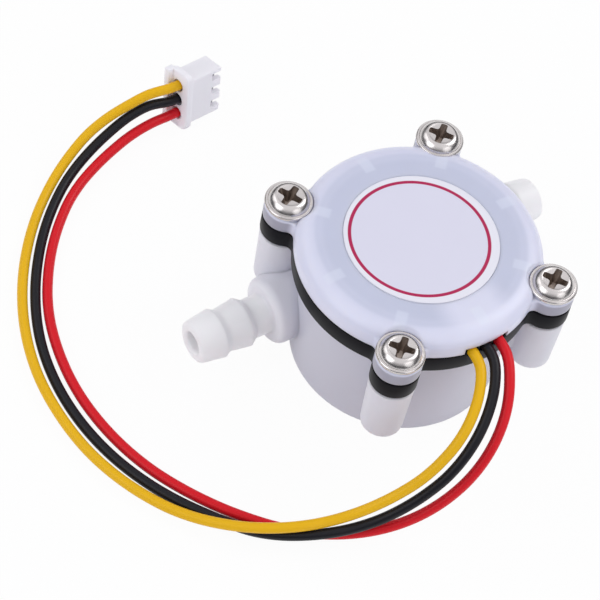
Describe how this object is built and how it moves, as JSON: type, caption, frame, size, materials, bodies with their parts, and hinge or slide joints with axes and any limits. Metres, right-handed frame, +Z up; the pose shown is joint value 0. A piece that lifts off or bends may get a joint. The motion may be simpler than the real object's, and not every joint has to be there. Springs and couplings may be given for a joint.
{
  "type": "water flow sensor",
  "caption": "Small in-line turbine water flow sensor with hose barbs, a screwed milky cover over a black plate, a spinning magnet rotor inside and leads to a crimp connector.",
  "frame": {"origin": "centre of the round underside of the lower housing, on the rotor's axis", "axes": "+X along the hose barbs towards the outlet, +Y towards the side the barbs are offset to (the leads leave on the -Y side), +Z up through the label"},
  "size_m": [0.0785, 0.0816, 0.0249],
  "materials": {
    "white_plastic": "satin, slightly see-through moulded plastic",
    "black_plastic": "satin moulded plastic",
    "milky_plastic": "soft gloss, milky",
    "label_film": "satin film with a thin magenta ring",
    "screw_steel": "polished, nickel-plated",
    "black_rubber": "matt",
    "rotor_plastic": "matt moulded plastic",
    "magnet_iron": "ground ferrite",
    "shaft_steel": "ground stainless",
    "bush_bronze": "sintered bronze",
    "board_green": "solder resist",
    "chip_black": "moulded epoxy",
    "capacitor_tan": "ceramic",
    "yellow_insulation": "soft gloss insulation",
    "black_insulation": "soft gloss insulation",
    "red_insulation": "soft gloss insulation",
    "connector_nylon": "moulded nylon",
    "contact_tin": "tin-plated"
  },
  "bodies": {
    "housing": {"lower_housing": "white_plastic", "middle_plate": "black_plastic", "top_cover": "milky_plastic", "label": "label_film", "cover_screw_1": "screw_steel", "cover_screw_2": "screw_steel", "cover_screw_3": "screw_steel", "cover_screw_4": "screw_steel", "seal_ring": "black_rubber", "lower_bush": "bush_bronze", "upper_bush": "bush_bronze", "circuit_board": "board_green", "hall_sensor": "chip_black", "pull_up_resistor": "chip_black", "filter_capacitor": "capacitor_tan", "wire_yellow": "yellow_insulation", "wire_black": "black_insulation", "wire_red": "red_insulation", "connector_housing": "connector_nylon", "connector_contact_1": "contact_tin", "connector_contact_2": "contact_tin", "connector_contact_3": "contact_tin"},
    "rotor": {"rotor": "rotor_plastic", "rotor_shaft": "shaft_steel", "rotor_magnet_1": "magnet_iron", "rotor_magnet_2": "magnet_iron", "rotor_magnet_3": "magnet_iron", "rotor_magnet_4": "magnet_iron"}
  },
  "joints": [
    {"name": "rotor_spin", "type": "hinge", "parent": "housing", "child": "rotor", "pos_m": [0, 0, 0.0085], "axis": [0, 0, 1], "continuous": true}
  ]
}
